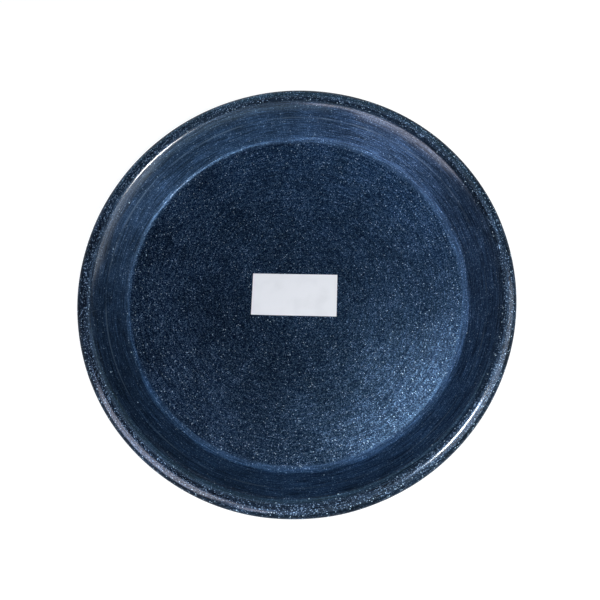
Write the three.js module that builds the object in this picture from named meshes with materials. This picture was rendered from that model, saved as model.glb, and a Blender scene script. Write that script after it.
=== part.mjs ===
// Round pooja plate: a pressed sheet-metal dish with a rolled rim, a glitter coat on its inside and over its rim,
// and a small paper sticker on the middle of the base.
// Millimetres and degrees, +Z up, origin on the table under the plate's centre.
import * as THREE from 'three';

// Seen shape of the dish, measured on the finished upper surface
const plateRadius = 125;
const baseRadius = 98.5;
const dishDepth = 22;
const cornerRadius = 5;
const rimRadius = 6;

// Sheet metal, and how far past its crest the rim is rolled out and under
const sheetThickness = 0.7;
const rimTurn = 205;

// Glitter coat, and how far past the crest of the rim it is carried
const coatThickness = 0.25;
const coatClearance = 0.05;
const coatTurn = 105;

// Paper sticker on the middle of the base
const stickerLength = 50.8;
const stickerWidth = 25.4;
const paperThickness = 0.12;
const adhesiveThickness = 0.05;

// Bare ring between the sticker's corners and the open part of the base, where things are set down
const stickerMargin = 3;

// Fineness of the round surfaces
const ringSegments = 72;
const arcStep = 18;

// Colours and finishes
const finishes = {
  plate_body: { color: 0x16263f, roughness: 0.45, metalness: 0.35 },
  glitter_coat: { color: 0x1d3556, roughness: 0.35, metalness: 0.25 },
  sticker_adhesive: { color: 0xd8d3c4, roughness: 0.4, metalness: 0 },
  sticker_paper: { color: 0xf2f2f4, roughness: 0.7, metalness: 0 },
};

const radians = THREE.MathUtils.degToRad;

// Heights of the layers on the base, and the centres of the two arcs that the wall runs between
const coatUnderside = sheetThickness + coatClearance;
const coatTop = coatUnderside + coatThickness;
const cornerCentre = new THREE.Vector2(baseRadius, coatTop + cornerRadius);
const rimCentre = new THREE.Vector2(plateRadius - rimRadius, coatTop + dishDepth - rimRadius);

// The wall is the straight line that touches the corner arc from below and the rim arc from above
const span = new THREE.Vector2().subVectors(rimCentre, cornerCentre);
const wallAngle = span.angle() + Math.asin((cornerRadius + rimRadius) / span.length());

// Radius at which the open part of the base starts
const openRadius = Math.hypot(stickerLength, stickerWidth) / 2 + stickerMargin;

// Points on an arc whose angle is counted clockwise from straight up, in even steps and what is left at the end
function arc(centre, radius, from, to) {
  const steps = Math.ceil((to - from) / radians(arcStep));
  return Array.from({ length: steps + 1 }, (_, i) => {
    const angle = Math.min(from + i * radians(arcStep), to);
    return new THREE.Vector2(centre.x + radius * Math.sin(angle), centre.y + radius * Math.cos(angle));
  });
}

// Half section of a surface that runs level below the finished one, from the axis out to its edge on the rim
function surface(below, turn) {
  const corner = arc(cornerCentre, cornerRadius + below, Math.PI - wallAngle, Math.PI).reverse();
  const rimInside = arc(rimCentre, rimRadius - below, -wallAngle, 0);
  const rimOutside = arc(rimCentre, rimRadius - below, 0, radians(turn)).slice(1);
  const base = [0, openRadius].map((radius) => new THREE.Vector2(radius, coatTop - below));
  return [...base, ...corner, ...rimInside, ...rimOutside];
}

// A layer of the dish between two such surfaces, turned about the plate's axis
function layer(name, outerBelow, innerBelow, turn) {
  const section = [...surface(innerBelow, turn), ...surface(outerBelow, turn).reverse()];
  const geometry = new THREE.LatheGeometry(section, ringSegments).rotateX(Math.PI / 2);
  return piece(name, geometry);
}

// A rectangular film of the sticker, lying on the given height
function film(name, thickness, height) {
  const mesh = piece(name, new THREE.BoxGeometry(stickerLength, stickerWidth, thickness));
  mesh.position.z = height + thickness / 2;
  return mesh;
}

function piece(name, geometry) {
  const mesh = new THREE.Mesh(geometry, new THREE.MeshStandardMaterial(finishes[name]));
  mesh.name = name;
  return mesh;
}

const plate = new THREE.Group();
plate.add(
  layer('plate_body', coatTop - sheetThickness, coatTop, rimTurn),
  layer('glitter_coat', 0, coatThickness, coatTurn),
  film('sticker_adhesive', adhesiveThickness, coatTop),
  film('sticker_paper', paperThickness, coatTop + adhesiveThickness),
);

export default plate;
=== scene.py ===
"""Looks of a round pooja plate: sheet-metal dish, glitter coat and sticker, on a plain studio floor."""
import math
from typing import NamedTuple

import bmesh
import bpy
from bpy.props import FloatProperty, FloatVectorProperty, IntProperty, PointerProperty
from mathutils import Matrix, Vector, noise


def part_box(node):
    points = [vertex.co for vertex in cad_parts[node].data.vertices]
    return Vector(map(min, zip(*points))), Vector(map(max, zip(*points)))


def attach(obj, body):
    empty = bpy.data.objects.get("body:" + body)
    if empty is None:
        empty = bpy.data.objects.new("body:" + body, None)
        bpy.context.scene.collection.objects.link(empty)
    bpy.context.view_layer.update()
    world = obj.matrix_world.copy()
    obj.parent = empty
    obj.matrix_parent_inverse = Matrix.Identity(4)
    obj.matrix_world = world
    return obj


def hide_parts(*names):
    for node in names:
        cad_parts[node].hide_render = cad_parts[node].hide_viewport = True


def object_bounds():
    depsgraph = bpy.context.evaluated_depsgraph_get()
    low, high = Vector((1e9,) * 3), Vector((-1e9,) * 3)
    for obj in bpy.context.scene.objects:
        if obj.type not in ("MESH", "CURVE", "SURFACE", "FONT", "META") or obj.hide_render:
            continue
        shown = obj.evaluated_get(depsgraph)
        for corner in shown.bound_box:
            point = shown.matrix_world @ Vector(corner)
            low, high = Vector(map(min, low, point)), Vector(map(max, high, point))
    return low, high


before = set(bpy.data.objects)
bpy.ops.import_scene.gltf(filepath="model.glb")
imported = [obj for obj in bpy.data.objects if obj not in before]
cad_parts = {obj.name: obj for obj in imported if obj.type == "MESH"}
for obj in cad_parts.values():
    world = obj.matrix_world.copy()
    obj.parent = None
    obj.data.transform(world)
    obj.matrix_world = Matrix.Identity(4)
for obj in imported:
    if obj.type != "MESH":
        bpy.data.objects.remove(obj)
cad_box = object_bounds()
coat_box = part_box("glitter_coat")
glue_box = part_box("sticker_adhesive")
paper_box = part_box("sticker_paper")

bl_info = {
    "name": "Pooja Plate",
    "version": (1, 0, 0),
    "blender": (4, 5, 0),
    "location": "3D View > Sidebar > Plate",
    "description": "Builds a glitter-coated pooja plate with its sticker, and a plain studio round it",
    "category": "Object",
}

BODY = "root"


def length(name, description, default):
    """A size in metres that a user may change."""
    return FloatProperty(name=name, description=description, default=default, unit="LENGTH", precision=5)


def angle(name, description, degrees):
    """An angle that a user may change."""
    return FloatProperty(name=name, description=description, default=math.radians(degrees), subtype="ANGLE")


def colour(name, description, default):
    """A linear colour."""
    return FloatVectorProperty(
        name=name, description=description, default=default, subtype="COLOR", size=3, min=0, max=1
    )


class DishShape(bpy.types.PropertyGroup):
    """Sizes of the dish, on its finished upper surface, and of its sheet and coat."""

    plate_radius: length("Plate radius", "Axis to the outermost line of the rim", coat_box[1].x)
    base_radius: length("Base radius", "Axis to where the flat inside starts to turn up", 0.0985)
    base_height: length("Base height", "Flat inside above the table", glue_box[0].z)
    rim_height: length("Rim height", "Crest of the rim above the table", coat_box[1].z)
    corner_radius: length("Corner radius", "Inside corner between base and wall", 0.005)
    rim_radius: length("Rim radius", "Outside of the rolled rim's round section", 0.006)
    coat_thickness: length("Coat thickness", "Glitter lacquer", 0.00025)
    coat_turn: angle("Coat turn", "How far past the crest the coat is carried", 105)
    sheet_below: length("Sheet below", "Top of the sheet under the finished surface", 0.0003)
    sheet_thickness: length("Sheet thickness", "Sheet metal", 0.0007)
    rim_turn: angle("Rim turn", "How far past its crest the rim is rolled out and under", 205)
    base_dents: length("Base dents", "Height of the slow unevenness of the pressed base", 0.00022)
    rim_dents: length("Rim dents", "Sideways unevenness of the rolled rim", 0.00025)
    around: IntProperty(name="Around", description="Faces round the plate", default=384, min=24)


class CoatFinish(bpy.types.PropertyGroup):
    """Colours and scale of the glitter lacquer and of the paint under it."""

    lacquer: colour("Lacquer", "Blue lacquer between the flakes", (0.0078, 0.0187, 0.0462))
    flake_dim: colour("Dim flake", "Flakes that lie flat in the lacquer", (0.081, 0.145, 0.243))
    flake_pale: colour("Pale flake", "Flakes that stand up in the lacquer", (0.27, 0.40, 0.60))
    flake_bright: colour("Bright flake", "Flakes at the surface", (0.56, 0.74, 0.90))
    paint: colour("Paint", "Plain ground coat on the underside", (0.020, 0.034, 0.070))
    scratch: colour("Scratch", "Lacquer that has been scratched dull", (0.16, 0.22, 0.29))
    worn_ring: length("Worn ring", "Radius of a thin ring worn into the wall", 0.1097)
    flake_size: length("Flake size", "Spacing of the fine flakes", 0.00044)
    spark_size: length("Spark size", "Spacing of the flakes that catch the light", 0.00090)
    large_flake_size: length("Large flake size", "Spacing of the few large flakes", 0.0030)
    ring_width: length("Ring width", "Spacing of the brush rings", 0.0010)
    hair_width: length("Hair width", "Spacing of the finest brush rings", 0.00052)
    turning_width: length("Turning width", "Spacing of the turning marks on the underside", 0.0016)


class StickerShape(bpy.types.PropertyGroup):
    """Paper and curl of the sticker."""

    paper: colour("Paper", "Uncoated white sticker paper", (0.766, 0.740, 0.744))
    glue: colour("Glue", "Film of glue under the paper", (0.62, 0.58, 0.47))
    ripple: length("Ripple", "Height of the paper's slow ripple", 0.00010)
    corner_lift: length("Corner lift", "How far one corner has come away", 0.00060)
    across: IntProperty(name="Across", description="Faces along the sticker", default=96, min=2)


class StudioSetup(bpy.types.PropertyGroup):
    """Camera of the photograph, and the tones of floor and room."""

    distance: length("Camera distance", "Camera to the point that it looks at", 0.3574)
    tilt: angle("Camera tilt", "Camera off the plate's axis", 13.57)
    azimuth: angle("Camera azimuth", "Camera round the plate, from the near side towards the right", 17.11)
    roll: angle("Camera roll", "Turn of the picture", -2.05)
    aim_x: length("Aim x", "Point on the base that the camera looks at", 0.0035)
    aim_y: length("Aim y", "Point on the base that the camera looks at", -0.0031)
    focal: FloatProperty(name="Focal length", description="Lens of the camera", default=36.0, unit="CAMERA")
    floor: colour("Floor", "Pale studio floor", (0.82, 0.82, 0.82))
    room: colour("Room", "Dim room round the lights", (0.030, 0.036, 0.050))


# Shapes

MERGE_DISTANCE = 1e-7
SHARP_ANGLE = math.radians(40)

# Edges along each stretch of the half section, and the turn of one edge round the rim
BASE_STEPS = 40
CORNER_STEPS = 12
WALL_STEPS = 10
RIM_STEP_DEGREES = 6

# Waves to the metre of the dents, how late they fade towards the wall, and the layer of noise for the rim
BASE_DENT_WAVES = 22
RIM_DENT_WAVES = 26
DENT_FADE_POWER = 4
RIM_DENT_LAYER = Vector((0, 0, 7))

# Half the side of a unit square, waves to the metre and layer of noise of the sticker's ripple, and how far
# out towards its loose corner the sticker starts to lift
HALF_UNIT = 0.5
RIPPLE_WAVES = 70
RIPPLE_LAYER = 3
LIFT_START = 0.8


def tangent_geometry(dish):
    """Centres of the corner and rim arcs, and the angle of the wall that touches both."""
    corner = Vector((dish.base_radius, 0, dish.base_height + dish.corner_radius))
    rim = Vector((dish.plate_radius - dish.rim_radius, 0, dish.rim_height - dish.rim_radius))
    span = rim - corner
    lean = math.atan2(span.z, span.x)
    return corner, rim, lean + math.asin((dish.corner_radius + dish.rim_radius) / span.length)


def run_to(bm, pen, place, steps):
    """Draws a straight line from the pen to a place, in equal edges, and returns its end."""
    stride = (place - pen.co) / steps
    for _ in range(steps):
        pen = bmesh.ops.extrude_vert_indiv(bm, verts=[pen])["verts"][0]
        bmesh.ops.translate(bm, verts=[pen], vec=stride)
    return pen


def bend_round(bm, pen, centre, turn, steps):
    """Draws an arc from the pen round a centre, in the section's plane, and returns its end."""
    made = bmesh.ops.spin(bm, geom=[pen], cent=centre, axis=(0, 1, 0), angle=turn, steps=steps)
    return made["geom_last"][0]


def draw_section(bm, dish, below, turn):
    """Half section of a surface that runs level below the finished one, from the axis to its edge."""
    corner, rim, wall = tangent_geometry(dish)
    pen = bm.verts.new((0, 0, dish.base_height - below))
    pen = run_to(bm, pen, Vector((dish.base_radius, 0, pen.co.z)), BASE_STEPS)
    pen = bend_round(bm, pen, corner, -wall, CORNER_STEPS)
    over_rim = dish.rim_radius - below
    wall_end = rim + over_rim * Vector((-math.sin(wall), 0, math.cos(wall)))
    pen = run_to(bm, pen, wall_end, WALL_STEPS)
    bend_round(bm, pen, rim, wall + turn, round(math.degrees(wall + turn) / RIM_STEP_DEGREES))


def soft_noise(place):
    """Smooth noise round one half, from about 0 to 1."""
    return 0.5 + 0.5 * noise.noise(place)


def dented(place, dish):
    """A place moved by the unevenness of the pressed sheet: the base lifted, the rim pushed sideways."""
    flat = Vector((place.x, place.y, 0))
    out = flat.length
    inner = max(0.0, 1 - (out / dish.base_radius) ** DENT_FADE_POWER)
    lift = dish.base_dents * inner * soft_noise(flat * BASE_DENT_WAVES)
    near_rim = max(0.0, (out - dish.base_radius) / (dish.plate_radius - dish.base_radius))
    push = dish.rim_dents * near_rim * noise.noise(flat * RIM_DENT_WAVES + RIM_DENT_LAYER)
    return place + Vector((0, 0, lift)) + (flat.normalized() * push if out else Vector())


def turned_layer(name, dish, below, thickness, turn):
    """A closed layer of the dish: the section spun about the axis, thickened downwards and dented."""
    bm = bmesh.new()
    draw_section(bm, dish, below, turn)
    bmesh.ops.spin(
        bm, geom=bm.verts[:] + bm.edges[:], cent=(0, 0, 0), axis=(0, 0, 1),
        angle=math.tau, steps=dish.around, use_merge=True,
    )
    bmesh.ops.remove_doubles(bm, verts=bm.verts[:], dist=MERGE_DISTANCE)
    bmesh.ops.recalc_face_normals(bm, faces=bm.faces[:])
    middle = min(bm.faces, key=lambda face: face.calc_center_median().xy.length)
    if middle.normal.z < 0:
        bmesh.ops.reverse_faces(bm, faces=bm.faces[:])
    bmesh.ops.solidify(bm, geom=bm.faces[:], thickness=thickness)
    for vert in bm.verts:
        vert.co = dented(vert.co, dish)
    return finished_piece(name, bm)


def sticker_film(name, sticker, dish, box):
    """A thin sheet as large as its CAD node, on the dented base, with a ripple and one lifted corner."""
    low, high = box
    size = high - low
    middle = (low + high) / 2
    rows = round(sticker.across * size.y / size.x)
    bm = bmesh.new()
    bmesh.ops.create_grid(bm, x_segments=sticker.across, y_segments=rows, size=HALF_UNIT)
    bmesh.ops.scale(bm, verts=bm.verts[:], vec=(size.x, size.y, 1))
    bmesh.ops.translate(bm, verts=bm.verts[:], vec=(middle.x, middle.y, high.z))
    bmesh.ops.solidify(bm, geom=bm.faces[:], thickness=size.z)
    for vert in bm.verts:
        ripple = sticker.ripple * soft_noise(Vector((vert.co.x, vert.co.y, RIPPLE_LAYER)) * RIPPLE_WAVES)
        to_corner = (vert.co.x / low.x + vert.co.y / low.y) / 2
        lift = sticker.corner_lift * (max(0.0, to_corner - LIFT_START) / (1 - LIFT_START)) ** 2
        vert.co = dented(vert.co, dish) + Vector((0, 0, ripple + lift))
    return finished_piece(name, bm)


def finished_piece(name, bm):
    """A new object at the origin with the mesh, smooth but for its sharp edges."""
    mesh = bpy.data.meshes.new(name)
    bm.to_mesh(mesh)
    bm.free()
    mesh.shade_smooth()
    mesh.set_sharp_from_angle(angle=SHARP_ANGLE)
    piece = bpy.data.objects.new(name, mesh)
    bpy.context.scene.collection.objects.link(piece)
    return piece


def stand_for(piece, node, material):
    """Lets a finished piece ride on the plate in place of its CAD node, with its finish."""
    piece.data.materials.append(material)
    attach(piece, BODY)
    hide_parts(node)


# Node helpers

FLOAT = "NodeSocketFloat"
VECTOR = "NodeSocketVector"

# Sockets of a Mix node by number: the two values, the two colours, and the colour that comes out
FIRST_VALUE = 2
SECOND_VALUE = 3
FIRST_COLOUR = 6
SECOND_COLOUR = 7
MIXED_COLOUR = 2


class Ease(NamedTuple):
    """Two readings between which a value eases from one level to another."""

    low: float
    high: float
    to_low: float = 0.0
    to_high: float = 1.0


class Cloud(NamedTuple):
    """Scale of a soft noise, its number of finer layers, and how strong these are."""

    scale: float
    detail: float = 2.0
    roughness: float = 0.5


def add(tree, kind, inputs=None, **options):
    """A new node with its options set, and its inputs set to values or linked to sockets."""
    made = tree.nodes.new(kind)
    for name, value in options.items():
        setattr(made, name, value)
    for name, value in (inputs or {}).items():
        if isinstance(value, bpy.types.NodeSocket):
            tree.links.new(value, made.inputs[name])
        else:
            made.inputs[name].default_value = value
    return made


def maths(tree, operation, first, *others):
    """One operation on a value, or on several values in turn."""
    result = first
    for value in others or (0.0,):
        result = add(tree, "ShaderNodeMath", {0: result, 1: value}, operation=operation).outputs[0]
    return result


def times_plus(tree, value, factor, more):
    """A value times a factor, plus more."""
    return add(tree, "ShaderNodeMath", {0: value, 1: factor, 2: more}, operation="MULTIPLY_ADD").outputs[0]


def vectors(tree, operation, first, second=(0, 0, 0)):
    """One operation on two vectors."""
    return add(tree, "ShaderNodeVectorMath", {0: first, 1: second}, operation=operation).outputs[0]


def scaled(tree, vector, scale):
    """A vector times a value."""
    return add(tree, "ShaderNodeVectorMath", {0: vector, "Scale": scale}, operation="SCALE").outputs[0]


def ramp(tree, value, low, high, to_low=0.0, to_high=1.0):
    """A value eased from one range to another, and held at both ends."""
    inputs = {"Value": value, "From Min": low, "From Max": high, "To Min": to_low, "To Max": to_high}
    return add(tree, "ShaderNodeMapRange", inputs, interpolation_type="SMOOTHSTEP").outputs[0]


def eased(tree, value, ease, start=0.0):
    """A value eased as given, with both readings counted from a start."""
    return ramp(tree, value, start + ease.low, start + ease.high, ease.to_low, ease.to_high)


def mixed(tree, factor, first, second):
    """Two colours mixed."""
    inputs = {0: factor, FIRST_COLOUR: first, SECOND_COLOUR: second}
    return add(tree, "ShaderNodeMix", inputs, data_type="RGBA").outputs[MIXED_COLOUR]


def mixed_value(tree, factor, first, second):
    """Two values mixed."""
    return add(tree, "ShaderNodeMix", {0: factor, FIRST_VALUE: first, SECOND_VALUE: second}).outputs[0]


def cloud(tree, place, kind):
    """Soft noise from 0 to 1 at a place."""
    inputs = {"Vector": place, "Scale": kind.scale, "Detail": kind.detail, "Roughness": kind.roughness}
    return add(tree, "ShaderNodeTexNoise", inputs).outputs[0]


def rgba(values, tone=1.0):
    """A colour with full alpha, made lighter or darker by a tone."""
    return (*(tone * value for value in values), 1.0)


def object_place(tree):
    """Object coordinates."""
    return add(tree, "ShaderNodeTexCoord").outputs["Object"]


def bumped(tree, shader, inputs):
    """Lets a height roughen the surface of a shader."""
    bump = add(tree, "ShaderNodeBump", inputs).outputs[0]
    tree.links.new(bump, shader.inputs["Normal"])


def new_material(name):
    """A material, its tree and its Principled shader."""
    material = bpy.data.materials.new(name)
    material.use_nodes = True
    tree = material.node_tree
    return material, tree, tree.nodes["Principled BSDF"]


def new_group(name, inputs, outputs):
    """An empty node group with named sockets, its input node and its output node."""
    group = bpy.data.node_groups.new(name, "ShaderNodeTree")
    for title, kind, default in inputs:
        socket = group.interface.new_socket(title, in_out="INPUT", socket_type=kind)
        if default is not None:
            socket.default_value = default
    for title, kind in outputs:
        group.interface.new_socket(title, in_out="OUTPUT", socket_type=kind)
    return group, group.nodes.new("NodeGroupInput").outputs, group.nodes.new("NodeGroupOutput").inputs


def effect(name, make):
    """A shared node group, made once."""
    return bpy.data.node_groups.get(name) or make()


def placed(tree, group, inputs):
    """The outputs of a node group placed in a material."""
    return add(tree, "ShaderNodeGroup", inputs, node_tree=group).outputs


# Shared effects

# Inner part of a flake and of a scratch that shows in full, as a share of its reach
FLAKE_CORE = 0.6
SCRATCH_CORE = 0.4

# Colour of a flake that isn't tilted, and how the luck of a flake sets its tilt
LEVEL_FLAKE = (0.5, 0.5, 0.5)
WILD_FLAKES = Ease(0.70, 1.0, 0.7, 3.2)

# Noise across and along the brush rings
RING_CLOUD = Cloud(1.0, detail=3.0, roughness=0.65)

# How much narrower than long the cells of the scratches are, and which of the cells have a scratch
SCRATCH_SLENDERNESS = 14.0
LUCKY_SCRATCHES = Ease(0.55, 0.9)


def glitter_group():
    """Flakes strewn through a lacquer: where they are, how bright each one is and how each one is tilted."""
    group, given, result = new_group(
        "Glitter flakes",
        [("Place", VECTOR, None), ("Spacing", FLOAT, 0.001), ("Reach", FLOAT, 0.45), ("Tilt", FLOAT, 0.3)],
        [("Mask", FLOAT), ("Shine", FLOAT), ("Tone", FLOAT), ("Normal", VECTOR)],
    )
    scale = maths(group, "DIVIDE", 1.0, given["Spacing"])
    cells = add(group, "ShaderNodeTexVoronoi", {"Vector": given["Place"], "Scale": scale}).outputs
    core = maths(group, "MULTIPLY", given["Reach"], FLAKE_CORE)
    mask = ramp(group, cells["Distance"], given["Reach"], core)
    luck = add(group, "ShaderNodeSeparateColor", {0: cells["Color"]}).outputs
    lean = vectors(group, "SUBTRACT", cells["Color"], LEVEL_FLAKE)
    tilt = maths(group, "MULTIPLY", given["Tilt"], eased(group, luck["Green"], WILD_FLAKES))
    lean = scaled(group, scaled(group, lean, tilt), mask)
    surface = add(group, "ShaderNodeNewGeometry").outputs["Normal"]
    tilted = vectors(group, "NORMALIZE", vectors(group, "ADD", surface, lean))
    group.links.new(mask, result["Mask"])
    group.links.new(luck["Blue"], result["Shine"])
    group.links.new(luck["Red"], result["Tone"])
    group.links.new(tilted, result["Normal"])
    return group


def rings_group():
    """Fine rings left by a brush on the turning plate, broken along their length."""
    group, given, result = new_group(
        "Brush rings",
        [("Place", VECTOR, None), ("Width", FLOAT, 0.001), ("Breaks", FLOAT, 6.0)],
        [("Lines", FLOAT), ("Radius", FLOAT)],
    )
    flat = vectors(group, "MULTIPLY", given["Place"], (1, 1, 0))
    radius = add(group, "ShaderNodeVectorMath", {0: flat}, operation="LENGTH").outputs["Value"]
    heading = vectors(group, "NORMALIZE", flat)
    parts = add(group, "ShaderNodeSeparateXYZ", {0: heading}).outputs
    height = add(group, "ShaderNodeSeparateXYZ", {0: given["Place"]}).outputs["Z"]
    along_section = maths(group, "ADD", radius, height)
    ring_place = add(group, "ShaderNodeCombineXYZ", {
        "X": maths(group, "DIVIDE", along_section, given["Width"]),
        "Y": maths(group, "MULTIPLY", parts["X"], given["Breaks"]),
        "Z": maths(group, "MULTIPLY", parts["Y"], given["Breaks"]),
    }).outputs[0]
    group.links.new(cloud(group, ring_place, RING_CLOUD), result["Lines"])
    group.links.new(radius, result["Radius"])
    return group


def scratches_group():
    """Short hairline scratches that run one way, far apart."""
    group, given, result = new_group(
        "Hair scratches",
        [("Place", VECTOR, None), ("Turn", FLOAT, 0.0), ("Length", FLOAT, 0.03), ("Reach", FLOAT, 0.12)],
        [("Mask", FLOAT)],
    )
    turn = add(group, "ShaderNodeCombineXYZ", {"Z": given["Turn"]}).outputs[0]
    turned = add(group, "ShaderNodeMapping", {"Vector": given["Place"], "Rotation": turn}).outputs[0]
    along = maths(group, "DIVIDE", 1.0, given["Length"])
    across = maths(group, "MULTIPLY", along, SCRATCH_SLENDERNESS)
    stretch = add(group, "ShaderNodeCombineXYZ", {"X": along, "Y": across, "Z": along}).outputs[0]
    stretched = vectors(group, "MULTIPLY", turned, stretch)
    cells = add(group, "ShaderNodeTexVoronoi", {"Vector": stretched, "Scale": 1.0}).outputs
    core = maths(group, "MULTIPLY", given["Reach"], SCRATCH_CORE)
    mask = ramp(group, cells["Distance"], given["Reach"], core)
    luck = add(group, "ShaderNodeSeparateColor", {0: cells["Color"]}).outputs["Red"]
    group.links.new(maths(group, "MULTIPLY", mask, eased(group, luck, LUCKY_SCRATCHES)), result["Mask"])
    return group


class Scratches(NamedTuple):
    """Scratches that run one way: their turn in radians, cell length in metres, and half width in cells."""

    turn: float
    length: float
    reach: float


def scratched(tree, place, kinds):
    """Where a scratch of any of the kinds lies."""
    group = effect("Hair scratches", scratches_group)
    masks = []
    for kind in kinds:
        inputs = {"Place": place, "Turn": kind.turn, "Length": kind.length, "Reach": kind.reach}
        masks.append(placed(tree, group, inputs)["Mask"])
    return maths(tree, "MAXIMUM", *masks)


# Glitter lacquer

# Zones by radius in metres, counted from the base's edge
WALL_ZONE = Ease(0.0005, 0.0040)
# Band in the inside corner, where the lacquer is painted lighter as painted sheen
CORNER_BAND_RISE = Ease(-0.0010, 0.0012)
CORNER_BAND_FALL = Ease(0.0028, 0.0055, 1.0, 0.0)

# Zones by radius in metres, counted from the crest of the rim
RIM_ZONE = Ease(-0.0040, -0.0010)
RIM_SHADE = Ease(-0.0060, -0.0030, 1.0, 0.62)
HANDLED_GLOSS = Ease(-0.0078, -0.0040, 0.05, 0.82)

# Zone by radius in metres, counted from the outermost line of the rim, where the lacquer is painted darker
# as painted shade on the rim's outer side that turns away from the lights
EDGE_ZONE = Ease(-0.0035, -0.0023, 1.0, 0.4)

# Side towards the near lamp, which is painted lighter as painted light, with painted shade and a fainter
# corner band towards the other side
LIT_SIDE_DIRECTION = (0.94, -0.34, 0.0)
CORNER_BAND_BY_SIDE = Ease(-0.95, -0.10, 0.25, 1.0)
PAINTED_SIDE_LIGHT = Ease(-1.0, 1.0, 0.75, 1.30)

# How light the lacquer is by its brush rings, its mottle, its zone and its radius in metres: darker towards
# the middle, the inside corner painted lighter as painted sheen, and the wall painted lighter at its foot
# and darker at its top as painted light and shade
HAIR_BREAKS = 8.0
HAIR_LINES = Ease(0.34, 0.68, -1.0, 1.0)
HAIR_DEPTH = Ease(0.0, 1.0, 0.26, 0.60)
STREAK_SHADE = Ease(0.40, 0.64, 0.84, 1.18)
COAT_MOTTLE = Cloud(30.0, detail=4.0, roughness=0.6)
MOTTLE_SHADE = Ease(0.3, 0.7, 0.75, 1.20)
MIDDLE_SHADE = Ease(0.030, 0.095, 0.74, 1.15)
PAINTED_CORNER_SHEEN = Ease(0.0, 1.0, 1.0, 1.6)
# The wall is painted lighter at its foot and darker at its top, as painted light and shade; insets in metres
# from the base's edge and the crest
WALL_INSET = 0.0060
PAINTED_WALL_FOOT_LIGHT = 1.25
PAINTED_WALL_TOP_SHADE = 0.95

# Flakes: reach in cells, tilt, how strongly they show on the wall, and which of them stand up or shine
FINE_REACH = 0.75
SPARK_REACH = 0.40
LARGE_REACH = 0.17
FINE_TILT = Ease(0.0, 1.0, 0.12, 0.07)
GRAIN = Ease(0.0, 1.0, 1.0, 0.45)
TONE_POWER = 3.0
MEAN_TONE = 0.25
STANDING_FLAKES = Ease(0.950, 1.000)
STANDING_ON_RIM = 0.085
LIT_SPARKS = Ease(0.955, 0.995)
SPARKS_ON_RIM = 0.09
SPARKS_ON_WALL = Ease(0.0, 1.0, 1.0, 0.45)
LIT_LARGE_FLAKES = Ease(0.94, 0.97)

# Wear: hair scratches, and the worn ring's edge in metres, its gaps and its strength
COAT_SCRATCHES = (Scratches(0.35, 0.055, 0.07), Scratches(1.35, 0.045, 0.07), Scratches(2.5, 0.060, 0.07))
WORN_RING_EDGE = Ease(0.00035, 0.0001)
WORN_RING_GAPS = Cloud(40.0)
WORN_RING_STRENGTH = Ease(0.40, 0.60, 0.1, 0.8)
COAT_WEAR = 0.55

# Gloss and metal
BRUSHED_ROUGHNESS = Ease(0.35, 0.65, 0.40, 0.34)
CORNER_BAND_ROUGHNESS = Ease(0.0, 1.0, 0.0, 0.62)
EDGE_ROUGHNESS = Ease(0.9, 0.5, 0.0, 0.5)
FLAKE_GLOSS = Ease(0.1, 0.9, 0.50, 1.20)
EDGE_GLOSS = Ease(0.4, 0.9)
EDGE_METAL = Ease(0.4, 0.9, 0.5, 1.0)
WALL_METAL = Ease(0.0, 1.0, 0.9, 0.70)
COAT_CONSTANTS = {
    "IOR": 1.2,
    "Coat Roughness": 0.16,
    "Coat IOR": 1.8,
    "Specular Tint": (0.18, 0.50, 0.65, 1.0),
}
COAT_BUMP = {"Strength": 0.32, "Distance": 0.0003}


class CoatZones(NamedTuple):
    """What is known of a place on the coat: its radius, its zones, and how far it lies towards the side that
    is painted lighter.
    """

    radius: bpy.types.NodeSocket
    crest: float
    wall: bpy.types.NodeSocket
    rim: bpy.types.NodeSocket
    side: bpy.types.NodeSocket
    edge: bpy.types.NodeSocket
    corner_band: bpy.types.NodeSocket
    toward_lit_side: bpy.types.NodeSocket


def coat_zones(tree, place, radius, dish):
    """Tells base, corner, wall, rim and outer edge of the coat apart."""
    crest = dish.plate_radius - dish.rim_radius
    wall = eased(tree, radius, WALL_ZONE, dish.base_radius)
    rim = eased(tree, radius, RIM_ZONE, crest)
    toward = add(tree, "ShaderNodeVectorMath", {0: place, 1: LIT_SIDE_DIRECTION}, operation="DOT_PRODUCT")
    toward_lit_side = maths(tree, "DIVIDE", toward.outputs["Value"], radius)
    corner_band = maths(
        tree, "MULTIPLY",
        eased(tree, radius, CORNER_BAND_RISE, dish.base_radius),
        eased(tree, radius, CORNER_BAND_FALL, dish.base_radius),
        eased(tree, toward_lit_side, CORNER_BAND_BY_SIDE),
    )
    return CoatZones(
        radius=radius,
        crest=crest,
        wall=wall,
        rim=rim,
        side=maths(tree, "MULTIPLY", wall, maths(tree, "SUBTRACT", 1.0, rim)),
        edge=eased(tree, radius, EDGE_ZONE, dish.plate_radius),
        corner_band=corner_band,
        toward_lit_side=toward_lit_side,
    )


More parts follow.
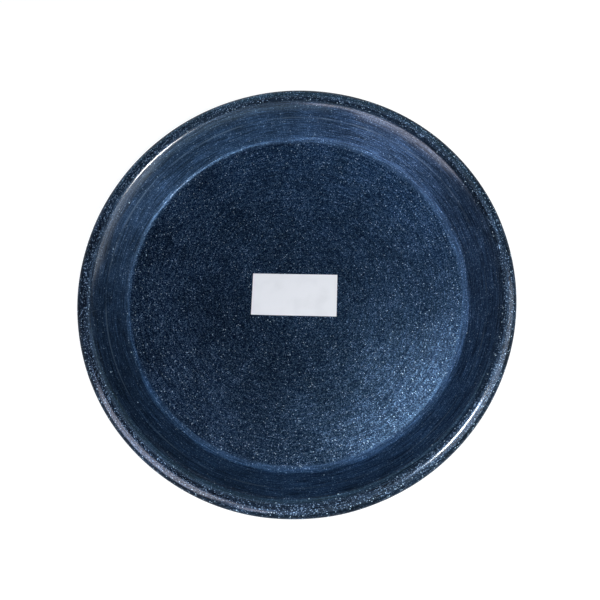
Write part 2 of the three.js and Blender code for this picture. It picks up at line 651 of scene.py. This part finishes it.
def coat_shade(tree, place, zones, lines, hairs, dish):
    """How light or dark the lacquer is at a place, by its brush rings, its mottle and its zone, with painted
    sheen in the inside corner and at the wall's foot, and painted shade at the rim's outer edge and on the
    side away from the lamps.
    """
    hair = times_plus(tree, eased(tree, hairs, HAIR_LINES), eased(tree, zones.wall, HAIR_DEPTH), 1.0)
    wall_foot = dish.base_radius + WALL_INSET
    wall_top = zones.crest - WALL_INSET
    painted_wall_light = ramp(tree, zones.radius, wall_foot, wall_top, PAINTED_WALL_FOOT_LIGHT, PAINTED_WALL_TOP_SHADE)
    upright = maths(tree, "MAXIMUM", zones.side, zones.corner_band)
    return maths(
        tree, "MULTIPLY",
        eased(tree, lines, STREAK_SHADE),
        hair,
        eased(tree, cloud(tree, place, COAT_MOTTLE), MOTTLE_SHADE),
        eased(tree, zones.radius, MIDDLE_SHADE),
        # painted light and shade up the wall
        mixed_value(tree, zones.side, 1.0, painted_wall_light),
        # painted shade: the rim's outer edge is darker
        zones.edge,
        eased(tree, zones.radius, RIM_SHADE, zones.crest),
        # painted sheen: the inside corner is painted lighter
        eased(tree, zones.corner_band, PAINTED_CORNER_SHEEN),
        # painted light and shade: walls and inside corner lighter towards the lamps' side, darker on the
        # other
        mixed_value(tree, upright, 1.0, eased(tree, zones.toward_lit_side, PAINTED_SIDE_LIGHT)),
    )


def standing_flakes(tree, shine, zones, grain):
    """The fine flakes that stand up in the lacquer, more of them on the rim."""
    luck = maths(tree, "ADD", shine, maths(tree, "MULTIPLY", zones.rim, STANDING_ON_RIM))
    strength = maths(tree, "MAXIMUM", grain, zones.rim)
    return maths(tree, "MULTIPLY", eased(tree, luck, STANDING_FLAKES), strength)


def bright_flakes(tree, place, glitter, zones, finish):
    """The flakes at the surface: sparks that catch the light, and a few large ones."""
    sparks = placed(tree, glitter, {"Place": place, "Spacing": finish.spark_size, "Reach": SPARK_REACH})
    large = placed(tree, glitter, {"Place": place, "Spacing": finish.large_flake_size, "Reach": LARGE_REACH})
    luck = maths(tree, "ADD", sparks["Shine"], maths(tree, "MULTIPLY", zones.rim, SPARKS_ON_RIM))
    lit = maths(
        tree, "MULTIPLY",
        sparks["Mask"], eased(tree, luck, LIT_SPARKS), eased(tree, zones.side, SPARKS_ON_WALL),
    )
    few = maths(tree, "MULTIPLY", large["Mask"], eased(tree, large["Shine"], LIT_LARGE_FLAKES))
    return maths(tree, "MAXIMUM", lit, few)


def coat_wear(tree, place, radius, finish):
    """Hair scratches, and one thin ring that something has worn into the wall."""
    off_ring = maths(tree, "ABSOLUTE", maths(tree, "SUBTRACT", radius, finish.worn_ring))
    strength = eased(tree, cloud(tree, place, WORN_RING_GAPS), WORN_RING_STRENGTH)
    ring = maths(tree, "MULTIPLY", eased(tree, off_ring, WORN_RING_EDGE), strength)
    worn = maths(tree, "MAXIMUM", ring, scratched(tree, place, COAT_SCRATCHES))
    return maths(tree, "MULTIPLY", worn, COAT_WEAR)


def coat_material(finish, dish):
    """Dark blue lacquer full of fine glitter, with brush rings and a clear gloss on the handled rim."""
    material, tree, shader = new_material("Glitter lacquer")
    place = object_place(tree)
    brushed = effect("Brush rings", rings_group)
    rings = placed(tree, brushed, {"Place": place, "Width": finish.ring_width})
    hairs = placed(tree, brushed, {"Place": place, "Width": finish.hair_width, "Breaks": HAIR_BREAKS})
    lines = rings["Lines"]
    zones = coat_zones(tree, place, rings["Radius"], dish)
    glitter = effect("Glitter flakes", glitter_group)
    tilt = eased(tree, zones.wall, FINE_TILT)
    fine = placed(tree, glitter, {
        "Place": place, "Spacing": finish.flake_size, "Reach": FINE_REACH, "Tilt": tilt,
    })
    grain = eased(tree, maths(tree, "MAXIMUM", zones.wall, zones.corner_band), GRAIN)
    standing = standing_flakes(tree, fine["Shine"], zones, grain)
    bright = bright_flakes(tree, place, glitter, zones, finish)

    tone = maths(tree, "SUBTRACT", maths(tree, "POWER", fine["Tone"], TONE_POWER), MEAN_TONE)
    flat_flakes = times_plus(tree, tone, grain, MEAN_TONE)
    body = mixed(tree, flat_flakes, rgba(finish.lacquer), rgba(finish.flake_dim))
    body = mixed(tree, standing, body, rgba(finish.flake_pale))
    body = scaled(tree, body, coat_shade(tree, place, zones, lines, hairs["Lines"], dish))
    body = mixed(tree, bright, body, rgba(finish.flake_bright))
    body = mixed(tree, coat_wear(tree, place, zones.radius, finish), body, rgba(finish.scratch))
    tree.links.new(body, shader.inputs["Base Color"])

    rough = maths(
        tree, "MAXIMUM",
        eased(tree, lines, BRUSHED_ROUGHNESS),
        eased(tree, zones.corner_band, CORNER_BAND_ROUGHNESS),
        eased(tree, zones.edge, EDGE_ROUGHNESS),
    )
    tree.links.new(rough, shader.inputs["Roughness"])
    gloss = maths(
        tree, "MULTIPLY",
        eased(tree, zones.radius, HANDLED_GLOSS, zones.crest),
        eased(tree, fine["Tone"], FLAKE_GLOSS),
        eased(tree, zones.edge, EDGE_GLOSS),
    )
    tree.links.new(gloss, shader.inputs["Coat Weight"])
    lying_flat = maths(tree, "SUBTRACT", 1.0, maths(tree, "MAXIMUM", standing, bright))
    metal = maths(
        tree, "MULTIPLY",
        eased(tree, zones.side, WALL_METAL), lying_flat, eased(tree, zones.edge, EDGE_METAL),
    )
    tree.links.new(metal, shader.inputs["Metallic"])
    for socket, value in COAT_CONSTANTS.items():
        shader.inputs[socket].default_value = value
    bumped(tree, shader, {"Height": lines, "Normal": fine["Normal"], **COAT_BUMP})
    return material


# Ground paint

# Turning marks and mottle, and how light and rough they make the paint
TURNING_SHADE = Ease(0.35, 0.65, 0.72, 1.25)
PAINT_MOTTLE = Cloud(22.0, detail=5.0, roughness=0.6)
THICK_PAINT = Ease(0.35, 0.7)
THICK_PAINT_TONE = 1.7
PAINT_ROUGHNESS = Ease(0.3, 0.7, 0.34, 0.48)
PAINT_BUMP = {"Strength": 0.25, "Distance": 0.0003}

# Wear: scratches, and the ring that the plate stands on, by its inset from the base's edge and its width
PAINT_SCRATCHES = (Scratches(0.4, 0.035, 0.13), Scratches(1.9, 0.028, 0.12))
SCRATCH_WEAR = 0.7
STANDING_RING_INSET = 0.0035
STANDING_RING_EDGE = Ease(0.0060, 0.0008)
RUBBED_CLOUD = Cloud(70.0, detail=6.0, roughness=0.75)
RUBBED_PATCHES = Ease(0.44, 0.66)
STANDING_WEAR = 0.6
WORN_ROUGHNESS = 0.2


def paint_wear(tree, place, radius, dish):
    """Scratches, and patches rubbed off where the plate stands on the table."""
    standing_ring = dish.base_radius - STANDING_RING_INSET
    off_ring = maths(tree, "ABSOLUTE", maths(tree, "SUBTRACT", radius, standing_ring))
    patches = eased(tree, cloud(tree, place, RUBBED_CLOUD), RUBBED_PATCHES)
    stood_on = maths(tree, "MULTIPLY", eased(tree, off_ring, STANDING_RING_EDGE), patches, STANDING_WEAR)
    marks = maths(tree, "MULTIPLY", scratched(tree, place, PAINT_SCRATCHES), SCRATCH_WEAR)
    return maths(tree, "MAXIMUM", marks, stood_on)


def paint_material(finish, dish):
    """Dark blue ground paint on the underside, with turning marks, and rubbed where the plate stands."""
    material, tree, shader = new_material("Ground paint")
    place = object_place(tree)
    rings = placed(tree, effect("Brush rings", rings_group), {"Place": place, "Width": finish.turning_width})
    mottle = cloud(tree, place, PAINT_MOTTLE)
    worn = paint_wear(tree, place, rings["Radius"], dish)
    thick = eased(tree, mottle, THICK_PAINT)
    body = mixed(tree, thick, rgba(finish.paint), rgba(finish.paint, THICK_PAINT_TONE))
    body = scaled(tree, body, eased(tree, rings["Lines"], TURNING_SHADE))
    body = mixed(tree, worn, body, rgba(finish.scratch))
    tree.links.new(body, shader.inputs["Base Color"])
    worn_rough = maths(tree, "MULTIPLY", worn, WORN_ROUGHNESS)
    rough = maths(tree, "ADD", eased(tree, mottle, PAINT_ROUGHNESS), worn_rough)
    tree.links.new(rough, shader.inputs["Roughness"])
    bumped(tree, shader, {"Height": rings["Lines"], **PAINT_BUMP})
    return material


# Paper and glue

GRIME_CLOUD = Cloud(90.0, detail=3.0)
GRIMY_PAPER = Ease(0.45, 0.8)
GRIMY_TONE = 0.93
FIBRE_CLOUD = Cloud(1400.0, detail=4.0, roughness=0.7)
FIBRE_PAPER = Ease(0.55, 0.8, 0.0, 0.5)
FIBRE_TONE = 0.9
PAPER_ROUGHNESS = Ease(0.3, 0.7, 0.55, 0.75)
PAPER_BUMP = {"Strength": 0.1, "Distance": 0.0001}
GLUE_CLOUD = Cloud(300.0, detail=3.0)
CLOUDY_GLUE_TONE = 0.8
GLUE_ROUGHNESS = Ease(0.3, 0.7, 0.25, 0.45)


def paper_material(sticker):
    """Uncoated white paper with a faint fibre and a little handling grime."""
    material, tree, shader = new_material("Sticker paper")
    place = object_place(tree)
    fibre = cloud(tree, place, FIBRE_CLOUD)
    grimy = eased(tree, cloud(tree, place, GRIME_CLOUD), GRIMY_PAPER)
    paper = mixed(tree, grimy, rgba(sticker.paper), rgba(sticker.paper, GRIMY_TONE))
    paper = mixed(tree, eased(tree, fibre, FIBRE_PAPER), paper, rgba(sticker.paper, FIBRE_TONE))
    tree.links.new(paper, shader.inputs["Base Color"])
    tree.links.new(eased(tree, fibre, PAPER_ROUGHNESS), shader.inputs["Roughness"])
    bumped(tree, shader, {"Height": fibre, **PAPER_BUMP})
    return material


def glue_material(sticker):
    """A thin cream film, a little cloudy."""
    material, tree, shader = new_material("Sticker glue")
    cloudy = cloud(tree, object_place(tree), GLUE_CLOUD)
    tint = mixed(tree, cloudy, rgba(sticker.glue), rgba(sticker.glue, CLOUDY_GLUE_TONE))
    tree.links.new(tint, shader.inputs["Base Color"])
    tree.links.new(eased(tree, cloudy, GLUE_ROUGHNESS), shader.inputs["Roughness"])
    return material


# Studio

# Half the floor's side and its gap under the plate in metres, its roughness, and the white that it shows
FLOOR_REACH = 4.0
FLOOR_GAP = 0.0002
FLOOR_ROUGHNESS = 0.9
FLOOR_WHITE = 1.16
FLOOR_WHITE_SHARE = 0.8
HORIZON_WHITE = (0.935, 0.935, 0.935)

# Width of the camera's sensor in millimetres, and the nearest and farthest things that it sees in metres
SENSOR_WIDTH = 36.0
CLIP_START = 0.01
CLIP_END = 20.0


class Lamp(NamedTuple):
    """A soft lamp: azimuth and height in degrees, distance, width and tall side in metres, watts, colour."""

    name: str
    azimuth: float
    height: float
    distance: float
    width: float
    tall: float
    power: float
    tint: tuple


LAMPS = (
    Lamp("near lamp", -26.0, 61.6, 0.55, 0.09, 0.09, 1.6, (1.0, 1.0, 0.95)),
    Lamp("left window", 222.0, 30.0, 0.40, 0.30, 0.36, 0.92, (0.92, 0.90, 1.0)),
    Lamp("left pane", 256.0, 30.0, 1.20, 0.16, 0.50, 0.9, (0.88, 0.85, 1.0)),
    Lamp("right window", -11.0, 28.0, 0.52, 0.44, 0.50, 1.08, (0.84, 0.92, 1.0)),
    Lamp("near window", -65.0, 12.0, 1.30, 2.20, 0.46, 3.4, (0.58, 0.83, 1.0)),
    Lamp("near room", 278.0, 44.0, 1.50, 1.80, 1.20, 3.0, (0.62, 0.83, 1.0)),
    Lamp("far room", 76.0, 32.0, 1.50, 1.70, 1.40, 3.0, (0.40, 0.76, 1.0)),
    Lamp("far ceiling", 66.0, 62.0, 1.50, 1.00, 0.80, 1.5, (0.50, 0.73, 1.0)),
    Lamp("far corner", 122.0, 14.0, 1.50, 1.20, 0.60, 1.4, (0.40, 0.76, 1.0)),
)


def make_floor(studio):
    """A pale floor that the camera and reflections see as white, but for the plate's shadow."""
    bm = bmesh.new()
    bmesh.ops.create_grid(bm, x_segments=1, y_segments=1, size=FLOOR_REACH)
    bmesh.ops.translate(bm, verts=bm.verts[:], vec=(0, 0, cad_box[0].z - FLOOR_GAP))
    floor = finished_piece("studio_floor", bm)
    floor.data.materials.append(floor_material(studio))


def floor_material(studio):
    """A dull pale floor, mixed with an even white where the camera, gloss or glass looks at it."""
    material, tree, shader = new_material("Studio floor")
    shader.inputs["Base Color"].default_value = rgba(studio.floor)
    shader.inputs["Roughness"].default_value = FLOOR_ROUGHNESS
    path = add(tree, "ShaderNodeLightPath").outputs
    rays = ("Is Camera Ray", "Is Glossy Ray", "Is Transmission Ray")
    seen = maths(tree, "MAXIMUM", *(path[ray] for ray in rays))
    white = add(tree, "ShaderNodeEmission", {"Color": (1, 1, 1, 1), "Strength": FLOOR_WHITE}).outputs[0]
    share = maths(tree, "MULTIPLY", seen, FLOOR_WHITE_SHARE)
    both = add(tree, "ShaderNodeMixShader", {0: share, 1: shader.outputs[0], 2: white}).outputs[0]
    tree.links.new(both, tree.nodes["Material Output"].inputs["Surface"])
    return material


def make_room(studio):
    """A dim even room behind the lights, which the camera sees in the floor's own white."""
    world = bpy.data.worlds.new("Studio room")
    world.use_nodes = True
    tree = world.node_tree
    path = add(tree, "ShaderNodeLightPath").outputs
    tint = mixed(tree, path["Is Camera Ray"], rgba(studio.room), rgba(HORIZON_WHITE))
    tree.links.new(tint, tree.nodes["Background"].inputs["Color"])
    bpy.context.scene.world = world


def around_plate(azimuth, height, distance):
    """A place round the plate's centre: azimuth from +X towards +Y, and height above the horizon."""
    flat = math.cos(height)
    return distance * Vector((flat * math.cos(azimuth), flat * math.sin(azimuth), math.sin(height)))


def make_lamp(lamp):
    """A soft rectangular lamp that faces the plate and that the camera doesn't see."""
    data = bpy.data.lights.new(lamp.name, "AREA")
    data.shape = "RECTANGLE"
    data.size = lamp.width
    data.size_y = lamp.tall
    data.energy = lamp.power
    data.color = lamp.tint
    made = bpy.data.objects.new(lamp.name, data)
    made.location = around_plate(math.radians(lamp.azimuth), math.radians(lamp.height), lamp.distance)
    made.rotation_mode = "QUATERNION"
    made.rotation_quaternion = (-made.location).to_track_quat("-Z", "Y")
    made.visible_camera = False
    bpy.context.scene.collection.objects.link(made)


def make_camera(studio, base_height):
    """The photograph's camera, high over the near side of the plate."""
    data = bpy.data.cameras.new("camera")
    data.sensor_width = SENSOR_WIDTH
    data.lens = studio.focal
    data.clip_start = CLIP_START
    data.clip_end = CLIP_END
    camera = bpy.data.objects.new("camera", data)
    aim = Vector((studio.aim_x, studio.aim_y, base_height))
    back = around_plate(studio.azimuth - math.pi / 2, math.pi / 2 - studio.tilt, 1.0)
    right = Vector((0, 1, 0)).cross(back).normalized()
    upright = Matrix((right, back.cross(right), back)).transposed()
    turn = upright @ Matrix.Rotation(-studio.roll, 3, "Z")
    camera.matrix_world = Matrix.Translation(aim + studio.distance * back) @ turn.to_4x4()
    bpy.context.scene.collection.objects.link(camera)
    bpy.context.scene.camera = camera


# Operators and panel


class PLATE_OT_studio(bpy.types.Operator):
    """Sets up the floor, the lights and the camera"""

    bl_idname = "plate.studio"
    bl_label = "Studio"

    def execute(self, context):
        studio = context.scene.plate_studio
        make_floor(studio)
        make_room(studio)
        for lamp in LAMPS:
            make_lamp(lamp)
        make_camera(studio, context.scene.plate_dish.base_height)
        context.scene.view_settings.view_transform = "Standard"
        return {"FINISHED"}


class PLATE_OT_sheet_body(bpy.types.Operator):
    """Presses the sheet-metal dish and rolls its rim"""

    bl_idname = "plate.sheet_body"
    bl_label = "Sheet Body"

    def execute(self, context):
        dish = context.scene.plate_dish
        body = turned_layer("dish_sheet", dish, dish.sheet_below, dish.sheet_thickness, dish.rim_turn)
        stand_for(body, "plate_body", paint_material(context.scene.plate_coat, dish))
        return {"FINISHED"}


class PLATE_OT_glitter_coat(bpy.types.Operator):
    """Lays the glitter lacquer on the inside and over the rim"""

    bl_idname = "plate.glitter_coat"
    bl_label = "Glitter Coat"

    def execute(self, context):
        dish = context.scene.plate_dish
        coat = turned_layer("dish_glitter_coat", dish, 0.0, dish.coat_thickness, dish.coat_turn)
        stand_for(coat, "glitter_coat", coat_material(context.scene.plate_coat, dish))
        return {"FINISHED"}


class PLATE_OT_sticker(bpy.types.Operator):
    """Sticks the blank paper label and its glue on the base"""

    bl_idname = "plate.sticker"
    bl_label = "Sticker"

    def execute(self, context):
        sticker = context.scene.plate_sticker
        dish = context.scene.plate_dish
        glue = sticker_film("sticker_glue_film", sticker, dish, glue_box)
        stand_for(glue, "sticker_adhesive", glue_material(sticker))
        paper = sticker_film("sticker_blank_paper", sticker, dish, paper_box)
        stand_for(paper, "sticker_paper", paper_material(sticker))
        return {"FINISHED"}


class PLATE_PT_sidebar(bpy.types.Panel):
    """The plate's pieces and sizes"""

    bl_idname = "PLATE_PT_sidebar"
    bl_label = "Pooja Plate"
    bl_space_type = "VIEW_3D"
    bl_region_type = "UI"
    bl_category = "Plate"

    def draw(self, context):
        for operator in OPERATORS:
            self.layout.operator(operator.bl_idname)
        for group in GROUPS:
            settings = getattr(context.scene, group)
            for name in settings.__annotations__:
                self.layout.prop(settings, name)


OPERATORS = (PLATE_OT_studio, PLATE_OT_sheet_body, PLATE_OT_glitter_coat, PLATE_OT_sticker)
GROUPS = {
    "plate_dish": DishShape,
    "plate_coat": CoatFinish,
    "plate_sticker": StickerShape,
    "plate_studio": StudioSetup,
}


def register():
    for cls in (*GROUPS.values(), *OPERATORS, PLATE_PT_sidebar):
        bpy.utils.register_class(cls)
    for name, cls in GROUPS.items():
        setattr(bpy.types.Scene, name, PointerProperty(type=cls))


def unregister():
    for name in GROUPS:
        delattr(bpy.types.Scene, name)
    for cls in reversed((*GROUPS.values(), *OPERATORS, PLATE_PT_sidebar)):
        bpy.utils.unregister_class(cls)


def main():
    register()
    bpy.ops.plate.studio()
    bpy.ops.plate.sheet_body()
    bpy.ops.plate.glitter_coat()
    bpy.ops.plate.sticker()


if __name__ == "__main__":
    main()
